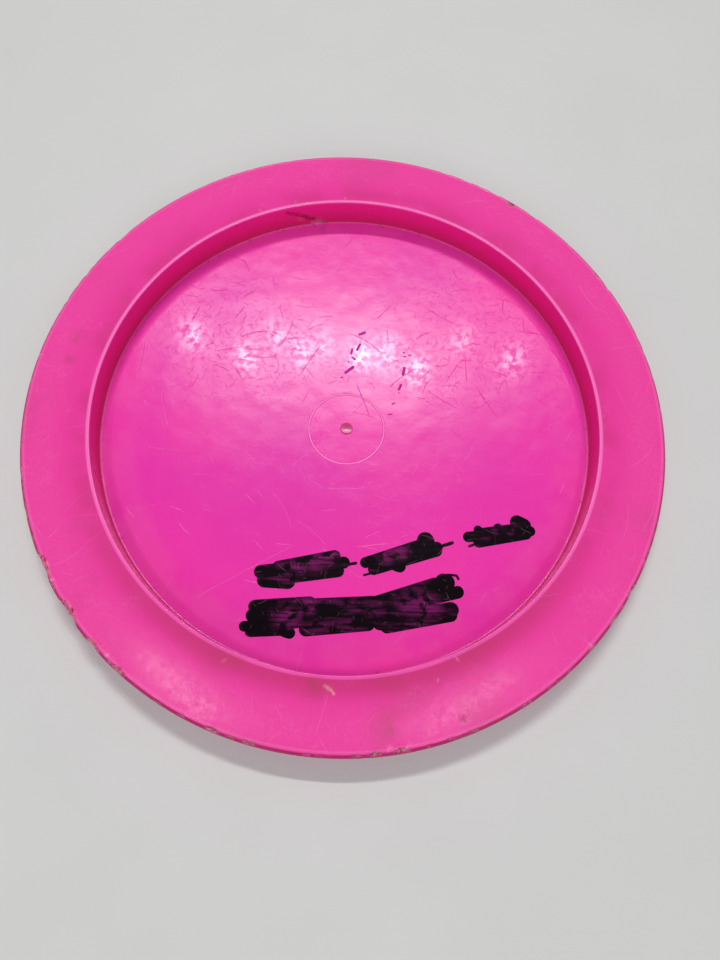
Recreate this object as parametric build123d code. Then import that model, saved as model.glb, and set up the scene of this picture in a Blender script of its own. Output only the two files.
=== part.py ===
from build123d import *
import math
import os

# A disc-golf driver, lying on its crown with the hollow open upwards.
# The disc itself is one injection moulding: a thin, slightly domed flight plate inside a wide
# solid rim, or wing, that narrows to a blunt nose. The only other material on it is marker ink,
# which lies on the plate's inner face as thin films.
# Millimetres. The origin is on the spin axis at the crown, and +Z points out of the hollow.

# ---- driving dimensions of the moulding
disc_radius = 105.5
rim_width = 22.8
wall_depth = 11.0
plate_thickness = 1.9
plate_dome = 2.5
plate_ring_width = 8.0
lip_land = 1.3

# ---- where the outer skin turns, as radius and height
crown_flat_radius = 24.0
shoulder = (76.0, 2.2)
flank_end = (104.4, 10.1)
nose_height = 11.7
parting_edge = (104.05, 13.85)
wing_crown = 0.35

# ---- edge roundings
corner_round = 0.6
lip_inner_round = 0.3
lip_outer_round = 0.25

# ---- the moulding gate, at the middle of the plate
witness_ring_radius = 12.9
witness_ring_height = 0.15
witness_ring_bead = 0.5
gate_stub_radius = 2.1
gate_stub_height = 0.4
gate_stub_bevel = 0.15

# ---- marker ink
ink_thickness = 0.06
ink_inner_limit = 3.0
ink_outer_limit = 79.5

# ---- worked out from the driving dimensions
inner_radius = disc_radius - rim_width
corner_height = plate_thickness + plate_dome
lip_height = corner_height + wall_depth
plate_curve = (inner_radius**2 + plate_dome**2) / (2 * plate_dome)


def sphere_height(radius):
    """Height at a radius of the large sphere that the plate's inner face follows."""
    return plate_thickness + plate_curve - (plate_curve**2 - radius**2) ** 0.5


def plate_height(radius):
    """Height of the plate's inner face at a radius.

    The bowl is drawn as rings 8 mm wide, each a very shallow cone, and stays within 0.01 mm of
    the sphere. The thin ink films follow the same rings, so a mesh of either can't hide them.
    """
    inner = radius // plate_ring_width * plate_ring_width
    outer = min(inner + plate_ring_width, inner_radius)
    share = (radius - inner) / (outer - inner)
    return sphere_height(inner) * (1 - share) + sphere_height(outer) * share


def bowl_line(inner, outer, lift=0.0):
    """The line of the plate's inner face from an inner to an outer radius, raised by lift."""
    radii = [inner]
    ring = (inner // plate_ring_width + 1) * plate_ring_width
    while ring < outer:
        radii.append(ring)
        ring += plate_ring_width
    radii.append(outer)
    return Polyline(*[(radius, plate_height(radius) + lift) for radius in radii])


def moulding_section():
    """Half section of the moulding, crown and nose on the outside, wall and plate inside."""
    lip_outer = (inner_radius + lip_land, lip_height)
    wing_middle = (
        (lip_outer[0] + parting_edge[0]) / 2,
        (lip_outer[1] + parting_edge[1]) / 2 + wing_crown,
    )
    crown = Line((0, 0), (crown_flat_radius, 0))
    dome = TangentArc(crown @ 1, shoulder, tangent=crown % 1)
    flank = TangentArc(dome @ 1, flank_end, tangent=dome % 1)
    nose_top = TangentArc((disc_radius, nose_height), flank_end, tangent=(0, -1))
    nose_bottom = TangentArc((disc_radius, nose_height), parting_edge, tangent=(0, 1))
    wing = ThreePointArc(parting_edge, wing_middle, lip_outer)
    lip = Line(lip_outer, (inner_radius, lip_height))
    wall = Line(lip @ 1, (inner_radius, corner_height))
    plate = bowl_line(0, inner_radius)
    axis = Line(plate @ 0, (0, 0))
    skin = [crown, dome, flank, nose_top, nose_bottom, wing, lip]
    section = Face(Wire(skin + [wall, *plate.edges(), axis]))
    for place, rounding in (
        (wall @ 1, corner_round),
        (wall @ 0, lip_inner_round),
        (lip @ 0, lip_outer_round),
    ):
        corner = section.vertices().sort_by_distance(place)[0]
        section = section.fillet_2d(rounding, [corner])
    return section


def witness_ring_section():
    """The fine raised line that the mould's centre insert leaves in the plate."""
    sink = witness_ring_bead - witness_ring_height
    centre = (witness_ring_radius, plate_height(witness_ring_radius) - sink)
    return Pos(*centre) * Circle(witness_ring_bead)


def gate_stub_section():
    """The short stub of plastic where the gate was snapped off, with a bevelled top edge."""
    root = plate_thickness / 2
    top = plate_thickness + gate_stub_height
    bevel_radius = gate_stub_radius - gate_stub_bevel
    bevel_height = top - gate_stub_bevel
    corners = [(0, root), (gate_stub_radius, root), (gate_stub_radius, bevel_height)]
    corners += [(bevel_radius, top), (0, top), (0, root)]
    return Face(Wire(Polyline(*corners)))


def spun(section):
    """Turns a half section, drawn as radius and height, once round the spin axis."""
    return revolve(Plane.XZ * section, Axis.Z, 360)


def disc_moulding():
    """The whole plastic disc."""
    return spun(Sketch() + moulding_section() + witness_ring_section() + gate_stub_section())


def ink_sheet():
    """A film over the plate's inner face, from which each ink mark is cut."""
    under = bowl_line(ink_inner_limit, ink_outer_limit)
    over = bowl_line(ink_inner_limit, ink_outer_limit, lift=ink_thickness)
    ends = [Line(under @ 0, over @ 0), Line(under @ 1, over @ 1)]
    return spun(Face(Wire([*under.edges(), *over.edges(), *ends])))


def pull(start_x, start_y, end_x, end_y, width):
    """One straight pull of a marker seen from above: a bar with round ends, or a round dab."""
    run = Vector(end_x - start_x, end_y - start_y)
    middle = Pos((start_x + end_x) / 2, (start_y + end_y) / 2)
    if run.length < 0.1:
        return middle * Circle(width / 2)
    turn = math.degrees(math.atan2(run.Y, run.X))
    return middle * SlotCenterToCenter(run.length, width, rotation=turn)


def ink_mark(pulls):
    """The film under a set of marker pulls, which run together where they overlap."""
    outline = Sketch() + [pull(*ends) for ends in pulls]
    reach = corner_height + 1
    return ink_sheet() & extrude(outline, reach)


# Each pull is start x, start y, end x, end y and the width of the line, on the plate.
blot_left = [
    (-20.5, -48.8, -2.7, -44.8, 3.9),
    (-24.0, -50.7, 0.3, -46.9, 4.0),
    (-14.8, -51.8, -1.5, -49.7, 4.1),
    (-26.1, -50.6, -22.5, -50.0, 4.3),
    (-24.6, -53.2, -17.4, -53.5, 5.0),
    (0.0, -47.8, 4.2, -47.0, 1.0),
]
blot_middle = [
    (7.4, -46.7, 26.8, -39.7, 3.6),
    (26.8, -38.8, 27.1, -39.5, 5.5),
    (11.0, -47.7, 30.5, -41.2, 3.9),
    (10.0, -48.9, 30.3, -42.4, 3.7),
    (17.4, -47.4, 18.4, -47.7, 4.0),
    (7.0, -50.8, 10.0, -50.0, 0.7),
    (30.5, -41.2, 35.5, -39.5, 1.1),
]
blot_right = [
    (44.2, -39.2, 59.7, -36.2, 3.5),
    (40.9, -37.4, 61.0, -35.1, 3.6),
    (44.3, -35.9, 55.0, -34.3, 3.0),
    (44.1, -34.9, 44.4, -35.2, 2.9),
    (50.7, -34.1, 50.8, -34.6, 3.0),
    (57.0, -32.0, 59.2, -33.1, 4.6),
    (41.1, -40.5, 43.5, -39.6, 0.9),
]
blot_lower = [
    (-27.0, -61.8, -10.1, -60.3, 4.4),
    (-27.6, -64.6, -11.5, -63.4, 4.4),
    (-30.0, -68.0, -13.9, -66.6, 3.3),
    (-27.9, -69.4, -18.4, -68.8, 3.7),
    (-17.4, -69.3, -15.9, -69.7, 3.6),
    (-11.0, -61.2, 9.8, -59.8, 4.7),
    (-11.0, -64.7, 9.4, -63.5, 4.7),
    (-10.8, -68.4, 8.4, -66.3, 4.5),
    (9.0, -60.3, 29.6, -53.3, 4.4),
    (32.4, -52.5, 33.3, -52.7, 5.5),
    (9.0, -63.0, 36.8, -55.7, 4.1),
    (12.3, -65.7, 34.5, -61.4, 5.1),
    (14.4, -67.0, 34.4, -63.0, 4.3),
    (33.8, -50.1, 36.6, -50.3, 0.8),
    (36.6, -50.3, 37.2, -51.4, 0.8),
]
worn_specks = [
    (3.8, 36.4, 5.6, 37.2, 1.0),
    (4.0, 32.4, 3.0, 30.2, 0.9),
    (1.3, 30.4, 1.0, 28.8, 0.8),
    (1.4, 27.2, 2.4, 26.5, 0.7),
    (0.0, 25.5, 0.0, 25.5, 0.6),
    (1.7, 23.4, -0.8, 21.3, 1.1),
    (-2.4, 19.3, -1.8, 19.3, 0.5),
    (19.4, 29.7, 19.9, 29.5, 0.5),
    (19.7, 28.0, 20.3, 28.2, 0.5),
    (21.5, 28.6, 22.0, 28.8, 0.5),
    (20.0, 23.6, 19.4, 21.2, 1.0),
    (18.7, 17.0, 18.0, 15.3, 0.9),
    (17.9, 14.0, 17.9, 14.0, 0.5),
    (15.7, 9.6, 16.5, 10.1, 0.5),
    (14.3, 5.6, 15.6, 5.9, 0.4),
]

nodes = {
    "disc_moulding": disc_moulding(),
    "marker_blot_left": ink_mark(blot_left),
    "marker_blot_middle": ink_mark(blot_middle),
    "marker_blot_right": ink_mark(blot_right),
    "marker_blot_lower": ink_mark(blot_lower),
    "worn_ink_specks": ink_mark(worn_specks),
}

os.makedirs("parts", exist_ok=True)
for name, shape in nodes.items():
    export_step(shape, f"parts/{name}.step")
    print(name, "volume", round(shape.volume, 3), "mm3")
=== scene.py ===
# %% [markdown]
# # A golf disc, lying upside down
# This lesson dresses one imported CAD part: a golf disc of moulded plastic with marker ink on it.
# The CAD model gives the sizes and the places. Blender gives the plastic its wear: chipped edges,
# scratches, dirt and streaky ink. Everything is in metres, in the CAD model's own frame.

# %% Load the frame
import math
import random
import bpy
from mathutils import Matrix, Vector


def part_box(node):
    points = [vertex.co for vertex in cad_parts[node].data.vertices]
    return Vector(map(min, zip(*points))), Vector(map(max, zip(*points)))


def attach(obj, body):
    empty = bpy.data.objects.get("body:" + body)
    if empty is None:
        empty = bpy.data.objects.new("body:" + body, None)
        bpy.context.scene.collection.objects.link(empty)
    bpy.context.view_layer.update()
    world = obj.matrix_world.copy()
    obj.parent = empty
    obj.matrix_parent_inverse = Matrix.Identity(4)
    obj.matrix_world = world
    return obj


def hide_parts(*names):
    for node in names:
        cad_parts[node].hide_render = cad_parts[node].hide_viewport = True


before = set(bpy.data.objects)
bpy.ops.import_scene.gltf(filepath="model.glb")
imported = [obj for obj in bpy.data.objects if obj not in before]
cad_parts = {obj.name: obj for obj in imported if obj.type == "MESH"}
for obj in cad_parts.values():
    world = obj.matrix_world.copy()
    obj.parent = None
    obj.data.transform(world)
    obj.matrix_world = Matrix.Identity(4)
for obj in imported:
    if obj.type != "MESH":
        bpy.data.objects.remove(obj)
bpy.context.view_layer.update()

from types import SimpleNamespace

import bpy
import numpy as np
from mathutils import Matrix, Vector

# %% [markdown]
# ## Sizes
# The disc's radius and height come from the CAD node. The other sizes are the mould's own, and
# repeat those of the CAD model, because a section can't be read back from a mesh.

# %% Sizes of the disc
MM = 0.001
disc_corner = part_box("disc_moulding")[1]
DISC_RADIUS = disc_corner[0]
LIP_HEIGHT = disc_corner[2]
RIM_WIDTH = 22.8 * MM
WALL_DEPTH = 11.0 * MM
INNER_RADIUS = DISC_RADIUS - RIM_WIDTH
CORNER_HEIGHT = LIP_HEIGHT - WALL_DEPTH
PLATE_THICKNESS = 1.9 * MM
PLATE_DOME = CORNER_HEIGHT - PLATE_THICKNESS
PLATE_CURVE = (INNER_RADIUS**2 + PLATE_DOME**2) / (2 * PLATE_DOME)
LIP_LAND = 1.3 * MM
CROWN_FLAT = 24.0 * MM
SHOULDER = Vector((76.0, 2.2)) * MM
FLANK_END = Vector((104.4, 10.1)) * MM
NOSE = Vector((DISC_RADIUS, 11.7 * MM))
PARTING_EDGE = Vector((104.05, 13.85)) * MM
WING_CROWN = 0.35 * MM
LIP_ROUND = 0.35 * MM
CORNER_ROUND = 0.6 * MM
RING_RADIUS = 12.9 * MM
STUB_RADIUS = 2.1 * MM
STUB_TOP = PLATE_THICKNESS + 0.4 * MM
STUB_BEVEL = 0.15 * MM
print("disc radius", DISC_RADIUS, "lip height", LIP_HEIGHT, "hollow radius", INNER_RADIUS)

# %% [markdown]
# ## The section of the moulding
# A moulded disc is round, so one half section says everything about it. It could be drawn as a
# curve, but points from a few arcs are easier to thicken where the edge will be chipped. Each arc
# starts in the direction in which the last one ended, as on a lathe, so the skin has no kinks.

# %% Helpers for the section
def tangent_arc(start, heading, end, steps):
    """Points on the arc that leaves start along heading and reaches end, and its last heading."""
    chord = end - start
    side = Vector((-heading.y, heading.x))
    bend = 2 * chord.dot(side) / chord.length_squared
    turn = 2 * math.asin(chord.length * bend / 2)
    points = []
    for step in range(1, steps + 1):
        angle = turn * step / steps
        points.append(start + (heading * math.sin(angle) + side * (1 - math.cos(angle))) / bend)
    return points, heading * math.cos(turn) + side * math.sin(turn)


def soft_corner(before, corner, after, size, steps):
    """Points that round a corner, from size before it to size after it."""
    first = corner + (before - corner).normalized() * size
    last = corner + (after - corner).normalized() * size
    points = []
    for step in range(steps + 1):
        t = step / steps
        points.append(first * (1 - t) ** 2 + corner * 2 * t * (1 - t) + last * t * t)
    return points


def plate_height(radius):
    """Height of the plate's inner face, a shallow bowl."""
    return PLATE_THICKNESS + PLATE_CURVE - math.sqrt(PLATE_CURVE**2 - radius**2)


def on_plate(radius, lift=0.0):
    """A point of the section on the plate's inner face, raised by lift."""
    return Vector((radius, plate_height(radius) + lift))


# %% Draw the section
WING_STEPS = 22
PLATE_STEPS = 21
# the witness ring's bead: sideways and up, in mm
RING_BEAD = [(0.4, 0), (0.28, 0.08), (0.12, 0.15), (-0.12, 0.15), (-0.28, 0.08), (-0.4, 0)]


def outer_skin():
    """From the crown, over the shoulder and flank, round the nose to the parting edge."""
    points = [Vector((CROWN_FLAT * share, 0)) for share in (0, 0.4, 0.75, 1)]
    dome, heading = tangent_arc(points[-1], Vector((1, 0)), SHOULDER, 6)
    flank, heading = tangent_arc(SHOULDER, heading, FLANK_END, 12)
    nose_top, heading = tangent_arc(FLANK_END, heading, NOSE, 5)
    nose_bottom, heading = tangent_arc(NOSE, Vector((0, 1)), PARTING_EDGE, 7)
    return points + dome + flank + nose_top + nose_bottom


def wing_and_wall():
    """From the parting edge, with its fine flash, over the lip and down to the plate."""
    flash = [PARTING_EDGE + Vector((0.10, 0.12)) * MM, PARTING_EDGE + Vector((-0.12, 0.14)) * MM]
    start = PARTING_EDGE + Vector((-0.3, 0.02)) * MM
    lip_outer = Vector((INNER_RADIUS + LIP_LAND, LIP_HEIGHT))
    lip_inner = Vector((INNER_RADIUS, LIP_HEIGHT))
    foot = Vector((INNER_RADIUS, CORNER_HEIGHT))
    wing = []
    for step in range(WING_STEPS):
        t = step / WING_STEPS
        crown = Vector((0, WING_CROWN * 4 * t * (1 - t)))
        wing.append(start.lerp(lip_outer, t) + crown)
    lip = soft_corner(wing[-1], lip_outer, lip_inner, LIP_ROUND, 3)
    lip += soft_corner(lip_outer, lip_inner, foot, LIP_ROUND, 4)
    wall = [lip_inner.lerp(foot, share) for share in (0.12, 0.24, 0.36, 0.48, 0.6, 0.72, 0.84)]
    corner = soft_corner(lip_inner, foot, on_plate(0), CORNER_ROUND, 5)
    return flash + wing + lip + wall + corner


def plate_face():
    """From the rim in to the middle, over the fine witness ring and the gate stub."""
    far, near = 81.0 * MM, 14.5 * MM
    steps = range(PLATE_STEPS + 1)
    points = [on_plate(far + (near - far) * step / PLATE_STEPS) for step in steps]
    for offset, lift in RING_BEAD:
        points.append(on_plate(RING_RADIUS + offset * MM, lift * MM))
    points += [on_plate(radius * MM) for radius in (10.5, 8.0, 5.5, 3.5, 2.35)]
    points.append(on_plate(STUB_RADIUS))
    points.append(Vector((STUB_RADIUS, STUB_TOP - STUB_BEVEL)))
    points.append(Vector((STUB_RADIUS - STUB_BEVEL, STUB_TOP)))
    points.append(Vector((STUB_RADIUS * 0.5, STUB_TOP - 0.08 * MM)))
    points.append(Vector((0, STUB_TOP - 0.1 * MM)))
    return points


SECTION = outer_skin() + wing_and_wall() + plate_face()
print("the section has", len(SECTION), "points")

# %% [markdown]
# ## Turning the section into the disc
# A plane primitive, merged to a single vertex, is the pencil. Extruding that vertex from point to
# point draws the section in edit mode, and the Spin operator turns it once round the axis.
# Both ends lie on the axis, so merging by distance closes the two poles.

# %% Helpers for edit mode
def only(piece):
    """Makes this the one selected and active object."""
    bpy.ops.object.select_all(action="DESELECT")
    piece.select_set(True)
    bpy.context.view_layer.objects.active = piece


def select_in_edit(piece, chosen):
    """Enters edit mode with just these vertices selected, given as one flag a vertex."""
    only(piece)
    bpy.ops.object.mode_set(mode="EDIT")
    bpy.ops.mesh.select_mode(type="VERT")
    bpy.ops.mesh.select_all(action="DESELECT")
    bpy.ops.object.mode_set(mode="OBJECT")
    piece.data.vertices.foreach_set("select", chosen)
    bpy.ops.object.mode_set(mode="EDIT")


def places(piece):
    """The places of the piece's vertices, one row each."""
    flat = np.empty(len(piece.data.vertices) * 3)
    piece.data.vertices.foreach_get("co", flat)
    return flat.reshape(-1, 3)


def apply_modifiers(piece):
    """Turns every modifier of the piece into mesh."""
    only(piece)
    for modifier in list(piece.modifiers):
        bpy.ops.object.modifier_apply(modifier=modifier.name)


# %% Spin the disc
SPIN_STEPS = 720
MERGE_GAP = 0.002 * MM


def spun_disc(name):
    """Draws the section from one vertex and spins it into a closed disc."""
    bpy.ops.object.select_all(action="DESELECT")
    bpy.ops.mesh.primitive_plane_add(size=MM)
    disc = bpy.context.object
    disc.name = name
    disc.data.name = name
    bpy.ops.object.mode_set(mode="EDIT")
    bpy.ops.mesh.select_all(action="SELECT")
    bpy.ops.mesh.merge(type="CENTER")
    for last, point in zip(SECTION, SECTION[1:]):
        step = point - last
        bpy.ops.mesh.extrude_region_move(TRANSFORM_OT_translate={"value": (step.x, 0, step.y)})
    bpy.ops.mesh.select_all(action="SELECT")
    bpy.ops.mesh.spin(steps=SPIN_STEPS, angle=2 * math.pi, center=(0, 0, 0), axis=(0, 0, 1))
    bpy.ops.mesh.select_all(action="SELECT")
    bpy.ops.mesh.remove_doubles(threshold=MERGE_GAP)
    bpy.ops.mesh.normals_make_consistent(inside=False)
    bpy.ops.object.mode_set(mode="OBJECT")
    return disc


disc = spun_disc("golf_disc")
print("the disc has", len(disc.data.vertices), "vertices and", len(disc.data.polygons), "faces")

# %% [markdown]
# ## Chips and burrs
# A thrown disc hits trees and gravel, and its nose takes the blows. Each chip is a place on the
# skin with a size and a depth. The faces round the chips are subdivided, the chips are weighted
# into a vertex group, and a Displace modifier with a crumbly texture pushes the group in.
# Burrs are pushed out in the same way. The weights are kept as attributes, for paleness and dirt.

# %% Places of the chips and burrs
REACH, DEPTH, DIRT = 3, 4, 5
# angle in degrees, radius and height in mm, reach along the edge in mm, depth in mm, dirt 0 to 1
nose_chips = [
    (-167, 105.2, 13.0, 1.6, 0.35, 0.1),
    (-160, 105.2, 13.0, 2.2, 0.30, 0.2),
    (-150, 105.1, 12.6, 5.0, 0.95, 0.2),
    (-141, 105.1, 12.6, 5.5, 0.85, 0.3),
    (-134, 105.1, 12.9, 3.5, 0.65, 0.2),
    (-128, 104.9, 13.4, 3.0, 0.55, 0.3),
    (-110, 104.9, 13.3, 2.4, 0.70, 1.0),
    (-107, 104.9, 13.3, 1.6, 0.45, 0.9),
    (-104, 104.9, 13.3, 2.2, 0.45, 0.9),
    (-80, 104.8, 13.5, 2.4, 0.70, 0.9),
    (-84, 104.7, 13.6, 2.0, 0.50, 0.9),
    (-87, 104.8, 13.5, 1.4, 0.40, 0.9),
    (-44, 105.1, 13.0, 2.0, 0.45, 0.2),
    (-38, 105.1, 13.0, 2.4, 0.45, 0.3),
    (-32, 105.1, 13.0, 2.8, 0.60, 0.4),
    (-26, 105.0, 13.2, 2.0, 0.50, 0.3),
    (-21, 105.1, 13.0, 1.6, 0.50, 0.2),
    (15, 105.1, 13.1, 1.8, 0.45, 0.3),
    (30, 104.9, 13.4, 2.4, 0.55, 0.4),
    (33, 104.3, 13.8, 1.6, 0.40, 0.5),
    (51, 104.8, 13.4, 2.6, 0.55, 0.5),
    (56, 103.6, 13.9, 2.0, 0.45, 0.9),
    (60, 104.9, 13.4, 2.2, 0.50, 0.4),
    (66, 104.9, 13.4, 2.0, 0.50, 0.6),
    (141, 105.0, 13.2, 2.2, 0.45, 0.2),
    (151, 105.0, 13.2, 2.0, 0.50, 0.3),
]
wing_dents = [
    (-69, 100.9, 14.2, 1.1, 0.25, 1.0),
    (-92, 86.5, 15.3, 1.6, 0.16, 0.4),
    (-71, 88.5, 15.2, 0.8, 0.14, 0.0),
    (-113, 86.3, 15.3, 0.9, 0.14, 0.2),
]
wall_dents = [
    (99.0, 82.7, 6.0, 3.4, 0.35, 0.0),
    (103.0, 82.7, 8.6, 2.6, 0.25, 0.0),
]
burrs = [
    (170, 104.2, 13.9, 0.7, 0.30, 0.0),
    (-168, 104.3, 13.9, 0.6, 0.25, 0.0),
    (-147, 104.0, 13.9, 0.9, 0.30, 0.1),
    (-131, 103.9, 13.9, 0.8, 0.30, 0.1),
    (-82, 103.6, 13.9, 0.9, 0.30, 0.1),
    (-79, 104.0, 13.9, 0.7, 0.30, 0.0),
    (-44, 104.3, 13.8, 0.6, 0.30, 0.0),
    (-33, 104.0, 13.9, 0.6, 0.25, 0.0),
    (92, 84.3, 15.2, 0.5, 0.16, 0.0),
    (104, 84.3, 15.2, 0.5, 0.16, 0.0),
    (113, 84.3, 15.2, 0.5, 0.18, 0.0),
    (-66, 84.3, 15.2, 0.5, 0.16, 0.0),
]


CHIP_RADIUS = 104.95
CHIP_HEIGHTS = (13.0, 13.7)
CHIP_REACHES = (0.7, 1.8)
CHIP_DEPTHS = (0.15, 0.4)
MOST_DIRT = 0.6


def small_nose_chips(count, seed):
    """Many small chips all round the nose, from a fixed seed."""
    draw = random.Random(seed)
    chips = []
    for _ in range(count):
        angle = draw.uniform(-180, 180)
        reach = draw.uniform(*CHIP_REACHES)
        depth = draw.uniform(*CHIP_DEPTHS)
        height = draw.uniform(*CHIP_HEIGHTS)
        chips.append((angle, CHIP_RADIUS, height, reach, depth, draw.random() * MOST_DIRT))
    return chips


nose_chips += small_nose_chips(70, seed=4)
print(len(nose_chips), "chips,", len(wing_dents) + len(wall_dents), "dents,", len(burrs), "burrs")


# %% Refine the skin round the marks
SMALL_REACH = 1.0
DEEP = 0.4
LEAST_SPREAD = 0.9 * MM
REFINED_SHARE = 1.3


def distance_to(mark, points):
    """Each point's distance from a mark, as a share of the mark's reach."""
    angle, radius, height, reach = mark[0], mark[1] * MM, mark[2] * MM, mark[REACH] * MM
    turn = math.radians(angle)
    centre = np.array([radius * math.cos(turn), radius * math.sin(turn), height])
    along = np.array([-math.sin(turn), math.cos(turn), 0.0])
    gap = points - centre
    run = gap @ along
    rest = np.linalg.norm(gap - np.outer(run, along), axis=1)
    spread = max(reach * 0.6, LEAST_SPREAD)
    return np.sqrt((run / reach) ** 2 + (rest / spread) ** 2)


def near_any(marks, points, share):
    """Which points lie within this share of the reach of any mark."""
    return np.any([distance_to(mark, points) < share for mark in marks], axis=0)


all_marks = nose_chips + wing_dents + wall_dents + burrs
fine_marks = []
for mark in all_marks:
    if mark[REACH] < SMALL_REACH or mark[DEPTH] > DEEP or mark in wing_dents:
        fine_marks.append(mark)
select_in_edit(disc, near_any(fine_marks, places(disc), REFINED_SHARE))
bpy.ops.mesh.subdivide(number_cuts=2)
bpy.ops.object.mode_set(mode="OBJECT")
print("refined to", len(disc.data.vertices), "vertices")


# %% Weigh the marks and push them in
LEAST_WEIGHT = 0.002


def weights_of(marks, points, column):
    """The strongest mark at each point: its given column, faded out over its reach."""
    strongest = np.zeros(len(points))
    for mark in marks:
        fade = np.clip(1 - distance_to(mark, points) ** 2, 0, 1)
        strongest = np.maximum(strongest, fade * mark[column])
    return strongest


def weight_group(piece, name, weights):
    """A vertex group from one weight a vertex, relative to the largest weight."""
    group = piece.vertex_groups.new(name=name)
    for index in np.nonzero(weights > LEAST_WEIGHT)[0]:
        group.add([int(index)], float(weights[index] / weights.max()), "REPLACE")
    return group


def crumbly(name, size, contrast):
    """A cloudy texture that breaks a displacement up."""
    texture = bpy.data.textures.new(name, "CLOUDS")
    texture.noise_scale = size
    texture.noise_depth = 3
    texture.contrast = contrast
    texture.intensity = 1.25
    return texture


def push(piece, group, texture, amount):
    """Displaces a vertex group along its normals, out for a positive amount in metres."""
    displace = piece.modifiers.new(group.name, "DISPLACE")
    displace.vertex_group = group.name
    displace.texture = texture
    displace.texture_coords = "LOCAL"
    displace.direction = "NORMAL"
    displace.mid_level = 0.0
    displace.strength = amount


def keep_attribute(piece, name, weights):
    """Stores one number a vertex, which the material reads by this name."""
    layer = piece.data.attributes.new(name, "FLOAT", "POINT")
    layer.data.foreach_set("value", weights.astype(np.float32))


skin = places(disc)
inward = weights_of(nose_chips + wing_dents + wall_dents, skin, DEPTH)
outward = weights_of(burrs, skin, DEPTH)
grime = weights_of(all_marks, skin, DIRT)
crumbs = crumbly("crumbs", 1.4 * MM, 1.6)
push(disc, weight_group(disc, "chipped", inward), crumbs, -inward.max() * MM)
push(disc, weight_group(disc, "burred", outward), crumbs, outward.max() * MM)
apply_modifiers(disc)
disc.vertex_groups.clear()
select_in_edit(disc, places(disc)[:, 2] > LIP_HEIGHT)
bpy.ops.transform.resize(value=(1, 1, 0), center_override=(0, 0, LIP_HEIGHT))
bpy.ops.object.mode_set(mode="OBJECT")
keep_attribute(disc, "chipped", np.clip(inward * 2 + outward * 4, 0, 1))
keep_attribute(disc, "grimy", grime)
print("deepest chip", round(float(inward.max()), 2), "mm")

# %% Smooth the skin and stand it for the CAD node
CREASE = math.radians(24)
only(disc)
bpy.ops.object.shade_smooth_by_angle(angle=CREASE)
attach(disc, "root")
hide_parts("disc_moulding")
print("triangles", sum(len(face.vertices) - 2 for face in disc.data.polygons))

# %% [markdown]
# ## Writing a finish as arithmetic
# A worn surface is a sum of masks: where it's scratched, scuffed or dirty. Wiring those by hand
# takes hundreds of nodes, so a small class wraps a socket, and sums and products of such numbers
# add the Math nodes. One method adds every other kind of node.

# %% Numbers on a surface
class Number:
    """A number that varies over a surface. Arithmetic on it adds Math nodes."""

    def __init__(self, finish, socket):
        self.finish = finish
        self.socket = socket

    def __add__(self, other):
        return self.finish.math("ADD", self, other)

    def __sub__(self, other):
        return self.finish.math("SUBTRACT", self, other)

    def __rsub__(self, other):
        return self.finish.math("SUBTRACT", other, self)

    def __mul__(self, other):
        return self.finish.math("MULTIPLY", self, other)

    __radd__ = __add__
    __rmul__ = __mul__


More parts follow.
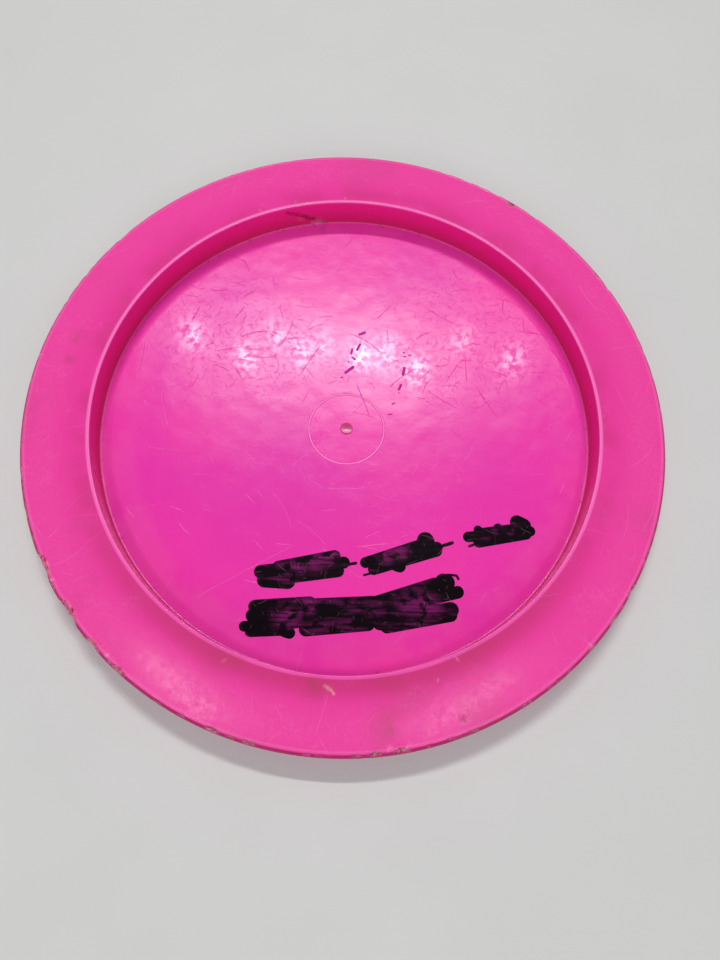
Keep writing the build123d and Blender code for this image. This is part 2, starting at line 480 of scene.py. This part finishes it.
# %% A finish under construction
class Finish:
    """One material, with the coordinates and the mask makers that its surface needs."""

    def __init__(self, name):
        self.material = bpy.data.materials.new(name)
        self.material.use_nodes = True
        self.tree = self.material.node_tree
        self.shader = self.tree.nodes["Principled BSDF"]
        self.place = self.node("ShaderNodeTexCoord").outputs["Object"]
        parts = self.node("ShaderNodeSeparateXYZ", inputs={0: self.place})
        self.x, self.y, self.z = (Number(self, output) for output in parts.outputs)

    def feed(self, socket, value):
        """Links a value that varies, or sets one that doesn't."""
        source = value.socket if isinstance(value, Number) else value
        if isinstance(source, bpy.types.NodeSocket):
            self.tree.links.new(source, socket)
        else:
            socket.default_value = source

    def node(self, kind, settings=None, inputs=None):
        """Adds a node: its settings first, then a value or a link for each socket."""
        made = self.tree.nodes.new(kind)
        for name, value in (settings or {}).items():
            setattr(made, name, value)
        for name, value in (inputs or {}).items():
            self.feed(made.inputs[name], value)
        return made

    def math(self, operation, *values):
        made = self.node("ShaderNodeMath", {"operation": operation}, dict(enumerate(values)))
        return Number(self, made.outputs[0])

    def fade(self, value, low, high):
        """0 at low and 1 at high, with a soft step between them. Low may be the larger."""
        settings = {"interpolation_type": "SMOOTHSTEP"}
        inputs = {"Value": value, "From Min": low, "From Max": high}
        return Number(self, self.node("ShaderNodeMapRange", settings, inputs).outputs["Result"])

    def near(self, value, middle, far, close):
        """1 where a value is close to a middle, and 0 where it is far from it."""
        return self.fade(self.math("ABSOLUTE", value - middle), far, close)

    def blend(self, share, first, second, how="MIX"):
        """A colour between two others."""
        settings = {"data_type": "RGBA", "blend_type": how}
        made = self.node("ShaderNodeMix", settings, {0: share, 6: first, 7: second})
        return made.outputs[2]

    def attribute(self, name):
        made = self.node("ShaderNodeAttribute", {"attribute_name": name})
        return Number(self, made.outputs["Fac"])

    def moved(self, offset, turn=0.0, stretch=(1, 1, 1)):
        """The surface's place, shifted, turned about Z and stretched."""
        inputs = {"Vector": self.place, "Location": offset, "Rotation": (0, 0, turn)}
        inputs["Scale"] = stretch
        return self.node("ShaderNodeMapping", inputs=inputs).outputs[0]

    def cloud(self, size, offset=(0, 0, 0), detail=4.0, turn=0.0, stretch=(1, 1, 1)):
        """Soft noise from 0 to 1, with features of about this size in metres."""
        inputs = {"Vector": self.moved(offset, turn, stretch), "Scale": 1 / size, "Detail": detail}
        return Number(self, self.node("ShaderNodeTexNoise", inputs=inputs).outputs[0])

    def scratches(self, cell, length, width, bow, offset):
        """Random fine scratches: one in each cell, turned and bowed by the cell's own colour."""
        shifted = self.moved(offset)
        settings = {"voronoi_dimensions": "2D"}
        spots = self.node("ShaderNodeTexVoronoi", settings, {"Vector": shifted, "Scale": 1 / cell})
        gap = self.node("ShaderNodeVectorMath", {"operation": "SUBTRACT"})
        self.feed(gap.inputs[0], shifted)
        self.feed(gap.inputs[1], spots.outputs["Position"])
        gaps = self.node("ShaderNodeSeparateXYZ", inputs={0: gap.outputs[0]})
        gap_x, gap_y = Number(self, gaps.outputs[0]), Number(self, gaps.outputs[1])
        draws = self.node("ShaderNodeSeparateColor", inputs={0: spots.outputs["Color"]})
        angle_draw, bow_draw, strength = (Number(self, output) for output in draws.outputs[:3])
        cosine = self.math("COSINE", angle_draw * math.tau)
        sine = self.math("SINE", angle_draw * math.tau)
        along = gap_x * cosine + gap_y * sine
        across = gap_y * cosine - gap_x * sine + along * along * (bow_draw - 0.5) * bow
        narrow = self.fade(self.math("ABSOLUTE", across), width, width * 0.2)
        short = self.fade(self.math("ABSOLUTE", along), length, length * 0.4)
        return narrow * short * self.fade(strength, 0.25, 1.0)

    def line(self, start, end, width, bow=0.0, upright=False):
        """One scratch from start to end, in metres on the plan (x, y) or upright (x, z)."""
        other = self.z if upright else self.y
        run = Vector(end) - Vector(start)
        middle = (Vector(end) + Vector(start)) / 2
        unit = run.normalized()
        gap_x, gap_y = self.x - middle.x, other - middle.y
        along = gap_x * unit.x + gap_y * unit.y
        across = gap_y * unit.x - gap_x * unit.y + along * along * bow
        narrow = self.fade(self.math("ABSOLUTE", across), width, width * 0.2)
        short = self.fade(self.math("ABSOLUTE", along), run.length / 2, run.length * 0.35)
        return narrow * short

    def patch(self, centre, reach, softness=1.0):
        """A soft round patch on the plan of the disc."""
        gap_x, gap_y = self.x - centre[0], self.y - centre[1]
        distance = self.math("SQRT", gap_x * gap_x + gap_y * gap_y)
        return self.fade(distance, reach, reach * (1 - softness))

    def relief(self, height):
        """Turns a height in metres into a bumped normal for the shader."""
        bump = self.node("ShaderNodeBump", inputs={"Height": height, "Distance": 1.0})
        self.feed(self.shader.inputs["Normal"], bump.outputs[0])


# %% [markdown]
# ## The plastic
# The disc is one shot of dyed, slightly cloudy plastic. Light leaks into it, and that light is
# painted
# into the colour: the hollow wall is painted a deeper red that glows near the lip and is painted
# darker towards the plate, and the outer wing is painted paler. Over that lie three kinds of wear:
# fine scratches from sliding, pale scuffs on the wing, and brown dirt rubbed into the edges.

# %% Where things are on the disc
def find_zones(f):
    """Masks for the parts of the disc, from a point's radius and height, and three noises."""
    at = SimpleNamespace()
    at.radius = f.math("SQRT", f.x * f.x + f.y * f.y)
    at.broad = f.cloud(60 * MM, (0.3, 0.1, 0))
    at.middling = f.cloud(9 * MM, (0.5, 0.2, 0), detail=6)
    at.fine = f.cloud(1.2 * MM, (0.7, 0.3, 0), detail=5)

    at.wing = f.fade(at.radius, INNER_RADIUS + 0.1 * MM, INNER_RADIUS + 0.9 * MM)
    at.upper = f.fade(f.z, PARTING_EDGE.y - 0.4 * MM, PARTING_EDGE.y)
    at.low = f.fade(f.z, CORNER_HEIGHT + 1.0 * MM, CORNER_HEIGHT)
    at.near_nose = f.fade(at.radius, INNER_RADIUS + 3 * MM, DISC_RADIUS - 7 * MM)
    at.front = f.fade(f.y, -20 * MM, -75 * MM)

    at.inside = f.fade(at.radius, INNER_RADIUS + 0.35 * MM, INNER_RADIUS + 0.05 * MM)
    wall = f.fade(at.radius, INNER_RADIUS - 0.5 * MM, INNER_RADIUS - 0.05 * MM) * at.inside
    wall = wall * f.fade(f.z, CORNER_HEIGHT, CORNER_HEIGHT + 0.5 * MM)
    at.wall = wall * f.fade(f.z, LIP_HEIGHT - 0.05 * MM, LIP_HEIGHT - 0.5 * MM)

    lip_middle = INNER_RADIUS + LIP_LAND * 0.45
    lip = f.near(at.radius, lip_middle, LIP_LAND * 0.6, LIP_LAND * 0.25)
    at.lip = lip * f.fade(f.z, LIP_HEIGHT - 1.0 * MM, LIP_HEIGHT - 0.2 * MM)
    return at


# %% Dyed plastic and painted light
PLATE_PINKS = (0.80, 0.034, 0.40, 1), (0.86, 0.040, 0.39, 1)
WING_SHADED_TO_LIT_PINKS = (0.84, 0.046, 0.33, 1), (0.89, 0.062, 0.36, 1)
WALL_GLOW_AND_SHADE_REDS = (0.75, 0.022, 0.19, 1), (0.97, 0.022, 0.34, 1)
HAZE_PINK = (0.84, 0.16, 0.44, 1)
LIP_HIGHLIGHT_PINK = (0.95, 0.16, 0.50, 1)
SHADED_RED = (0.46, 0.008, 0.12, 1)
EDGE_HIGHLIGHT_PINK = (0.92, 0.16, 0.44, 1)
FOOT_HIGHLIGHT_PINK = (0.75, 0.12, 0.28, 1)
HAZE_RADIUS = 76 * MM


def dye_and_painted_light(f, at):
    """Pink faces, with painted light: a glowing red wall, a paler outer wing, highlights and
    shade.
    """
    plate_pink = f.blend(f.fade(at.broad, 0.35, 0.65), *PLATE_PINKS)
    # Painted light: the wing is painted darker and redder by the lip and paler towards the thin
    # nose, as light through the plastic shows it.
    wing_pink = f.blend(at.near_nose, *WING_SHADED_TO_LIT_PINKS)
    colour = f.blend(at.wing, plate_pink, wing_pink)
    haze = f.near(at.radius, HAZE_RADIUS, 7 * MM, 2 * MM) * f.fade(at.middling, 0.3, 0.6)
    colour = f.blend(haze * 0.14, colour, HAZE_PINK)
    # Painted light: the wall's deeper red stands for light leaking through the plastic, brighter
    # near the lip and painted darker towards the plate as shade.
    up_wall = f.fade(f.z, CORNER_HEIGHT + 0.2 * MM, LIP_HEIGHT - 0.5 * MM)
    colour = f.blend(at.wall, colour, f.blend(up_wall, *WALL_GLOW_AND_SHADE_REDS))
    # Painted highlight: a paler band on the lip, partly worn plastic and partly the light it
    # catches, painted weaker at the front.
    colour = f.blend(at.lip * (1 - at.front * 0.6), colour, LIP_HIGHLIGHT_PINK)

    # Painted shade: the nose just under the parting edge is painted dark red.
    under_edge = f.fade(f.z, PARTING_EDGE.y - 2.6 * MM, PARTING_EDGE.y - 0.9 * MM)
    under_edge = under_edge * (1 - at.upper) * at.wing
    colour = f.blend(under_edge * 0.9, colour, SHADED_RED)
    # Painted highlight: a pale line along the parting edge.
    edge_highlight = f.near(f.z, PARTING_EDGE.y, 0.2 * MM, 0.05 * MM)
    edge_highlight = edge_highlight * f.fade(at.radius, PARTING_EDGE.x - 0.9 * MM, PARTING_EDGE.x - 0.4 * MM)
    colour = f.blend(edge_highlight * 0.5, colour, EDGE_HIGHLIGHT_PINK)
    # Painted highlight: a pale line along the rounded foot of the wall.
    foot_highlight = f.near(f.z, CORNER_HEIGHT + 0.25 * MM, 0.3 * MM, 0.1 * MM) * at.inside
    foot_highlight = foot_highlight * f.fade(at.radius, INNER_RADIUS - 0.7 * MM, INNER_RADIUS - 0.4 * MM)
    return f.blend(foot_highlight * 0.6, colour, FOOT_HIGHLIGHT_PINK)


# %% [markdown]
# ### Wear
# Scratches crowd where the disc is handled and where it lands, so the worn zones come first and
# the scratches are weighed by them. The same masks are used three times: in the colour, in the
# roughness and in the relief. That is why a scratch darkens, dulls and dents at the same spot.

# %% Where the disc is worn and scratched
# start x, start y, end x, end y, width, all in mm, and the bow
PLACED_SCRATCHES = [
    (-46.6, -59.7, -15.0, -40.8, 0.09, 0.4),
    (-6.1, 12.2, 1.6, 13.8, 0.10, -20),
    (1.8, 6.4, 9.8, 4.6, 0.12, 25),
    (2.2, 6.0, 7.0, 11.5, 0.10, 0),
]


def find_wear(f, at):
    """Masks for the worn zones and for the scratches, which crowd in them."""
    worn = SimpleNamespace()
    zone = f.fade(f.cloud(30 * MM, (0.6, 0.6, 0), detail=3), 0.46, 0.62) * 0.5
    right = f.patch((50 * MM, 40 * MM), 44 * MM, 0.7)
    left = f.patch((-42 * MM, 33 * MM), 40 * MM, 0.7)
    zone = f.math("MAXIMUM", zone, right + left * 0.8)
    worn.wing = at.near_nose * at.upper * f.fade(at.broad, 0.25, 0.50)
    worn.zone = f.math("MAXIMUM", zone * (1 - at.wing * 0.7), worn.wing)

    long_ones = f.scratches(17 * MM, 8 * MM, 0.17 * MM, 60, (0.11, 0.05, 0))
    short_ones = f.scratches(7 * MM, 3.6 * MM, 0.14 * MM, 160, (0.31, 0.27, 0))
    hairs = f.scratches(3.0 * MM, 1.8 * MM, 0.12 * MM, 350, (0.52, 0.47, 0))
    hairs = hairs + f.scratches(2.1 * MM, 1.2 * MM, 0.11 * MM, 500, (0.73, 0.61, 0))
    hairs = hairs * (worn.zone * 0.9 + 0.1)
    scored = long_ones + short_ones * (worn.zone * 0.7 + 0.3) + hairs * 0.6
    # Painted light: scratches are drawn pale towards the front and dark towards the back, where
    # the lamps' glow lies, as scratches look against a highlight.
    wander = f.cloud(7 * MM, (0.8, 0.9, 0), detail=1) - 0.5
    worn.pale = f.fade(f.y + wander * (60 * MM), 16 * MM, -4 * MM)
    worn.pale = f.math("MAXIMUM", worn.pale, at.wing)
    worn.scored = scored * (1 - worn.pale * 0.45) * (1 - at.wall * 0.8)

    placed = 0
    for start_x, start_y, end_x, end_y, width, bow in PLACED_SCRATCHES:
        start, end = (start_x * MM, start_y * MM), (end_x * MM, end_y * MM)
        placed = f.line(start, end, width * MM, bow) + placed
    worn.placed = placed * at.low
    worn.scuffs = f.fade(at.middling, 0.52, 0.75) * f.fade(at.fine, 0.42, 0.62) * at.wing
    return worn


# %% Colour of the wear, with painted highlights
PALE_SCRATCH = (0.93, 0.28, 0.60, 1)
DARK_SCRATCH = (0.50, 0.010, 0.22, 1)
PLACED_PINK = (0.95, 0.34, 0.62, 1)
SCUFF_PINK = (0.90, 0.20, 0.48, 1)
RING_HIGHLIGHT_PINK = (0.95, 0.30, 0.60, 1)
RING_INSIDE = (0.90, 0.036, 0.40, 1)


def add_wear_and_highlights(f, at, worn, colour):
    """Scratches and scuffs over a colour, and a painted highlight on the mould's witness ring."""
    # Painted light: the pale and dark shares of the scratches follow where the lamps' glow falls.
    pale = worn.scored * worn.pale * (worn.wing * 0.2 + 0.26)
    colour = f.blend(pale, colour, PALE_SCRATCH)
    colour = f.blend(worn.scored * (1 - worn.pale) * 0.5, colour, DARK_SCRATCH)
    colour = f.blend(worn.placed * 0.5, colour, PLACED_PINK)
    colour = f.blend(worn.scuffs * 0.10, colour, SCUFF_PINK)
    # Painted highlight: the witness ring's bead is painted pale, as light catches it.
    ring = f.near(at.radius, RING_RADIUS, 0.30 * MM, 0.12 * MM) * at.low
    colour = f.blend(ring * 0.8, colour, RING_HIGHLIGHT_PINK)
    within_ring = f.fade(at.radius, RING_RADIUS, RING_RADIUS - 0.5 * MM) * at.low
    return f.blend(within_ring * 0.5, colour, RING_INSIDE)


# %% [markdown]
# ### Dirt and painted shade
# Dirt gathers where a cloth doesn't reach: along the lip and in the chips. Along the lip at the
# front the darkening is painted shade as well as dirt, and the plate's foot is painted darker in
# specks.
# Each kind is a mask times a noise, blended over the colour below it.

# %% Dirt and painted shade
SMUDGE = (0.42, 0.07, 0.12, 1)
LIP_DIRT_AND_SHADE = (0.48, 0.035, 0.10, 1)
SPECK = (0.30, 0.03, 0.12, 1)
FOOT_DARK_SPECKS = (0.20, 0.02, 0.06, 1)
STAIN = (0.32, 0.06, 0.06, 1)
GRAZE_PINK = (0.85, 0.34, 0.38, 1)
SMEAR_RED = (0.24, 0.008, 0.035, 1)
# x, y and reach in mm
STAINS = [(-90, 24, 5), (-92, 17, 4), (-8, -86, 7), (15, -97, 6)]


def add_dirt_and_shade(f, at, colour):
    """Dirt and stains on the wing, specks, darker specks at the plate's foot, and dirt with
    painted shade by the lip.
    """
    smudge = f.fade(f.cloud(22 * MM, (0.9, 0.4, 0), detail=5), 0.52, 0.72) * at.wing
    colour = f.blend(smudge * (at.front * 0.16 + 0.14), colour, SMUDGE)
    band = f.fade(at.radius, INNER_RADIUS + 9 * MM, INNER_RADIUS + 2 * MM) * at.wing
    lip_dirt_and_shade = band * f.fade(f.cloud(14 * MM, (0.35, 0.75, 0), detail=4), 0.40, 0.62)
    # Painted shade: the band by the lip is painted darker at the front, over the patchy dirt.
    lip_dirt_and_shade = f.math("MAXIMUM", lip_dirt_and_shade * 0.3, at.front * band * 0.52)
    colour = f.blend(lip_dirt_and_shade * (1 - at.lip), colour, LIP_DIRT_AND_SHADE)
    specks = f.fade(f.cloud(0.9 * MM, (0.2, 0.8, 0), detail=2), 0.72, 0.80)
    colour = f.blend(specks * 0.5, colour, SPECK)
    # Darker specks along the plate's foot, next to the wall.
    foot_dark_specks = f.fade(at.radius, INNER_RADIUS - 1.6 * MM, INNER_RADIUS - 0.5 * MM)
    foot_dark_specks = foot_dark_specks * (1 - at.wing) * at.low
    foot_dark_specks = foot_dark_specks * f.fade(f.cloud(1.3 * MM, (0.6, 0.1, 0), detail=2), 0.60, 0.72)
    colour = f.blend(foot_dark_specks * 0.5, colour, FOOT_DARK_SPECKS)

    stains = 0
    for x, y, reach in STAINS:
        stains = f.patch((x * MM, y * MM), reach * MM) + stains
    stains = stains * at.wing * f.fade(at.middling, 0.35, 0.6)
    colour = f.blend(stains * 0.35, colour, STAIN)
    graze = f.line((-4.8 * MM, -85 * MM), (-0.8 * MM, -88.2 * MM), 0.7 * MM, 40)
    graze = graze * at.wing * f.fade(at.fine, 0.3, 0.55)
    return f.blend(graze * 0.6, colour, GRAZE_PINK)


def add_smear(f, at, colour):
    """One dark red smear down the far wall."""
    smear = f.line((-25 * MM, 13.6 * MM), (-13 * MM, 6.6 * MM), 1.5 * MM, 0, True)
    lower = f.line((-20 * MM, 9.5 * MM), (-9 * MM, 4.5 * MM), 1.9 * MM, 0, True)
    smear = (smear + lower * 0.5) * f.fade(at.fine, 0.25, 0.55) * (1 - at.wing)
    smear = smear * f.fade(f.y, INNER_RADIUS - 6 * MM, INNER_RADIUS - 4 * MM)
    return f.blend(smear * 0.62, colour, SMEAR_RED)


# %% [markdown]
# ### Gloss
# The plastic has two glosses. A broad, dull one comes from its roughness, and a faint, crisp one
# from a thin coat. The coat is broken up by noise, so the lamps show in it as ragged patches.

# %% Chips, the gate stub and the gloss
CHIP_PINK = (0.92, 0.34, 0.50, 1)
CHIP_DIRT = (0.16, 0.08, 0.035, 1)
STUB_PINKS = (0.57, 0.045, 0.20, 1), (0.44, 0.03, 0.13, 1)


def add_stub(f, at, colour):
    """The snapped gate, cloudier towards its heart."""
    stub = f.fade(at.radius, STUB_RADIUS + 0.15 * MM, STUB_RADIUS - 0.1 * MM) * at.low
    heart = f.fade(at.radius, STUB_RADIUS * 0.9, 0) * f.fade(at.fine, 0.2, 0.7)
    return f.blend(stub, colour, f.blend(heart, *STUB_PINKS))


def disc_relief(f, at, worn):
    """Height of the finest relief: scratches, grain, and the plate's slight waviness."""
    grain = f.cloud(0.55 * MM, (0.15, 0.35, 0), detail=3)
    ripple = f.cloud(9 * MM, (0.25, 0.45, 0), detail=1)
    rubbed = f.cloud(1.5 * MM, (0.55, 0.15, 0), detail=3) * worn.wing
    height = (worn.scored + worn.placed) * (-0.06 * MM) + at.fine * (0.012 * MM)
    height = height + ripple * (0.095 * MM) + grain * (worn.zone * (0.014 * MM) + 0.003 * MM)
    return height + rubbed * (0.035 * MM)


def disc_finish():
    """The whole finish of the plastic: its colour, its two glosses and its relief."""
    f = Finish("pink_disc_plastic")
    at = find_zones(f)
    worn = find_wear(f, at)
    colour = add_wear_and_highlights(f, at, worn, dye_and_painted_light(f, at))
    colour = add_dirt_and_shade(f, at, colour)
    paled = f.attribute("chipped") * f.fade(at.fine, 0.35, 0.6)
    colour = f.blend(paled * 0.7, colour, CHIP_PINK)
    crumbs = f.fade(f.cloud(0.8 * MM, (0.4, 0.6, 0), detail=4), 0.36, 0.62)
    browned = f.attribute("grimy") * crumbs
    colour = f.blend(browned * 0.9, colour, CHIP_DIRT)
    colour = add_stub(f, at, add_smear(f, at, colour))

    roughness = 0.145 + at.middling * 0.07 + worn.scored * 0.15 + worn.scuffs * 0.10
    roughness = roughness + browned * 0.3 + at.wall * 0.1 + worn.zone * 0.03
    roughness = roughness + f.fade(at.fine, 0.45, 0.60) * worn.wing * 0.10
    glaze = f.fade(f.cloud(2.2 * MM, (0.65, 0.85, 0), detail=6), 0.40, 0.60)
    glaze = glaze * (1 - worn.scored * 0.8)
    f.feed(f.shader.inputs["Base Color"], colour)
    f.feed(f.shader.inputs["Roughness"], roughness)
    f.feed(f.shader.inputs["Coat Weight"], glaze * 0.07)
    f.shader.inputs["IOR"].default_value = 1.5
    f.shader.inputs["Specular IOR Level"].default_value = 0.13
    f.shader.inputs["Coat Roughness"].default_value = 0.085
    f.relief(disc_relief(f, at, worn))
    return f.material


disc.data.materials.clear()
disc.data.materials.append(disc_finish())
print("the plastic has", len(disc.data.materials[0].node_tree.nodes), "nodes")

# %% [markdown]
# ## The ink
# Marker ink is black where two pulls of the pen overlap, and purple where one pull is thin, and
# its streaks run along the pulls. Each CAD film keeps its shape and gets this finish, turned to
# its own direction of scribbling, with its own thin patches.

# %% Ink finishes
INK_BLACK = (0.0045, 0.0015, 0.0040, 1)
INK_PURPLE = (0.17, 0.010, 0.105, 1)
INK_SCRATCH = (0.42, 0.16, 0.22, 1)
WORN_INKS = (0.46, 0.006, 0.23, 1), (0.62, 0.014, 0.30, 1)


def marker_finish(name, direction, thin_patches, shift):
    """Streaky ink, with its streaks along a direction and its noises moved by shift."""
    f = Finish(name)
    turn = math.radians(-direction)
    streaks = f.cloud(0.75 * MM, (shift, 0.2, 0), 3, turn, (0.07, 1, 1))
    bands = f.cloud(2.6 * MM, (shift, 0.7, 0), 2, turn, (0.16, 1, 1))
    blotches = f.cloud(4.0 * MM, (shift, 0.4, 0), 4)
    thin = f.fade(bands, 0.52, 0.66) * 0.5
    for x, y, reach in thin_patches:
        thin = thin + f.patch((x * MM, y * MM), reach * MM)
    thin = thin * f.fade(blotches, 0.38, 0.55)
    thin = thin * (f.fade(streaks, 0.30, 0.62) * 0.8 + 0.2)
    ink = f.blend(thin, INK_BLACK, INK_PURPLE)
    scored = f.scratches(6 * MM, 2.6 * MM, 0.12 * MM, 150, (shift, 0.9, 0))
    scored = scored + f.scratches(3 * MM, 0.8 * MM, 0.12 * MM, 150, (0.9, shift, 0)) * 0.7
    ink = f.blend(scored * 0.30, ink, INK_SCRATCH)
    f.feed(f.shader.inputs["Base Color"], ink)
    f.feed(f.shader.inputs["Roughness"], 0.16 + streaks * 0.1 + scored * 0.2)
    f.shader.inputs["Specular IOR Level"].default_value = 0.05
    f.relief(streaks * (0.01 * MM) + scored * (-0.01 * MM))
    return f.material


def worn_finish():
    """What is left of old ink: a dull purple stain."""
    f = Finish("worn_ink")
    patchy = f.fade(f.cloud(0.5 * MM, (0.3, 0.3, 0)), 0.35, 0.65)
    ink = f.blend(patchy, *WORN_INKS)
    f.feed(f.shader.inputs["Base Color"], ink)
    f.feed(f.shader.inputs["Roughness"], 0.30 + patchy * 0.1)
    f.shader.inputs["Specular IOR Level"].default_value = 0.03
    return f.material


# %% Dress the ink films
# direction of the pulls in degrees, then thin patches as x, y and reach in mm
ink_marks = {
    "marker_blot_left": (10, [(-9, -46.5, 6), (-4, -45.5, 4), (-15, -48.5, 5)]),
    "marker_blot_middle": (19, [(14, -44.6, 4), (19, -42.8, 4)]),
    "marker_blot_right": (8, [(49, -36.0, 2.5), (54.5, -35.2, 2)]),
    "marker_blot_lower": (5, [(-17, -64.5, 7), (-11, -61, 5), (22, -59, 8), (28, -60, 6)]),
}
for order, (node, (direction, thin_patches)) in enumerate(ink_marks.items()):
    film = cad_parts[node]
    film.data.materials.clear()
    film.data.materials.append(marker_finish(node, direction, thin_patches, 0.13 * (order + 1)))
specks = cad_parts["worn_ink_specks"]
specks.data.materials.clear()
specks.data.materials.append(worn_finish())
print("dressed", len(ink_marks) + 1, "ink films")

# %% [markdown]
# ## Studio
# A plain pale floor, a row of small lamps behind the disc, high up, and soft lamps overhead.
# The row makes the glow on the plate and the crisp crescent of shadow under the far wall.
# The camera is close and looks steeply down, so the near side of the disc looks larger.

# %% Floor
FLOOR_SIZE = 6.0
FLOOR_GREYS = (0.62, 0.615, 0.605, 1), (0.66, 0.655, 0.645, 1)
bpy.ops.object.select_all(action="DESELECT")
bpy.ops.mesh.primitive_plane_add(size=FLOOR_SIZE)
floor = bpy.context.object
floor.name = "studio_floor"
paint = Finish("pale_floor")
mottle = paint.cloud(40 * MM)
floor_colour = paint.blend(mottle, *FLOOR_GREYS)
paint.feed(paint.shader.inputs["Base Color"], floor_colour)
paint.shader.inputs["Roughness"].default_value = 0.6
floor.data.materials.append(paint.material)
print("floor laid,", floor.dimensions.x, "m wide")


# %% Lamps
def soft_lamp(name, place, size, power):
    """A rectangular lamp at a place in metres, facing the middle of the disc."""
    light = bpy.data.lights.new(name, "AREA")
    light.shape = "RECTANGLE"
    light.size, light.size_y = size
    light.energy = power
    lamp = bpy.data.objects.new(name, light)
    bpy.context.scene.collection.objects.link(lamp)
    lamp.location = place
    lamp.rotation_euler = Vector(place).to_track_quat("Z", "Y").to_euler()
    return lamp


FAR_HEIGHT = 1.335
FAR_SIZE = (0.018, 0.022)
FAR_POWER = 0.99
# sideways and back in metres, then the share of the row's power
far_row = [
    (-0.262, 0.685, 1.1),
    (-0.173, 0.658, 1.1),
    (-0.127, 0.697, 0.9),
    (-0.081, 0.672, 1.0),
    (-0.042, 0.688, 0.6),
    (0.022, 0.670, 1.3),
    (0.066, 0.677, 1.0),
    (0.117, 0.648, 1.3),
    (0.192, 0.697, 0.6),
    (0.276, 0.660, 0.9),
]
for order, (sideways, back, share) in enumerate(far_row):
    place = (sideways, back, FAR_HEIGHT)
    soft_lamp(f"far_lamp_{order + 1}", place, FAR_SIZE, FAR_POWER * share)
soft_lamp("overhead_left", (-0.40, -0.27, 1.10), (0.28, 0.11), 1.9)
soft_lamp("overhead_right", (0.31, -0.29, 1.12), (0.30, 0.12), 1.6)
soft_lamp("front_fill", (0.0, -1.18, 0.92), (1.2, 0.6), 4.0)
world = bpy.data.worlds.new("studio")
world.use_nodes = True
sky = world.node_tree.nodes["Background"]
sky.inputs["Color"].default_value = (0.95, 0.97, 1.0, 1)
sky.inputs["Strength"].default_value = 0.26
bpy.context.scene.world = world
bpy.context.scene.view_settings.view_transform = "Standard"
print(len(far_row) + 3, "lamps set")

# %% Camera
CAMERA_PLACE = Vector((0.0, -93.6, 229.85)) * MM
CAMERA_AIM = Vector((4.77, -22.4, 13.85)) * MM
CAMERA_ROLL = math.radians(5.26)
lens = bpy.data.cameras.new("camera")
lens.lens = 26.8
lens.sensor_width = 36.0
lens.clip_start = 0.01
camera = bpy.data.objects.new("camera", lens)
bpy.context.scene.collection.objects.link(camera)
facing = (CAMERA_AIM - CAMERA_PLACE).to_track_quat("-Z", "Y")
camera.location = CAMERA_PLACE
rolled = facing.to_matrix() @ Matrix.Rotation(CAMERA_ROLL, 3, "Z")
camera.rotation_euler = rolled.to_euler()
bpy.context.scene.camera = camera
print("camera at", tuple(camera.location))

# %% Finish
bpy.context.view_layer.update()
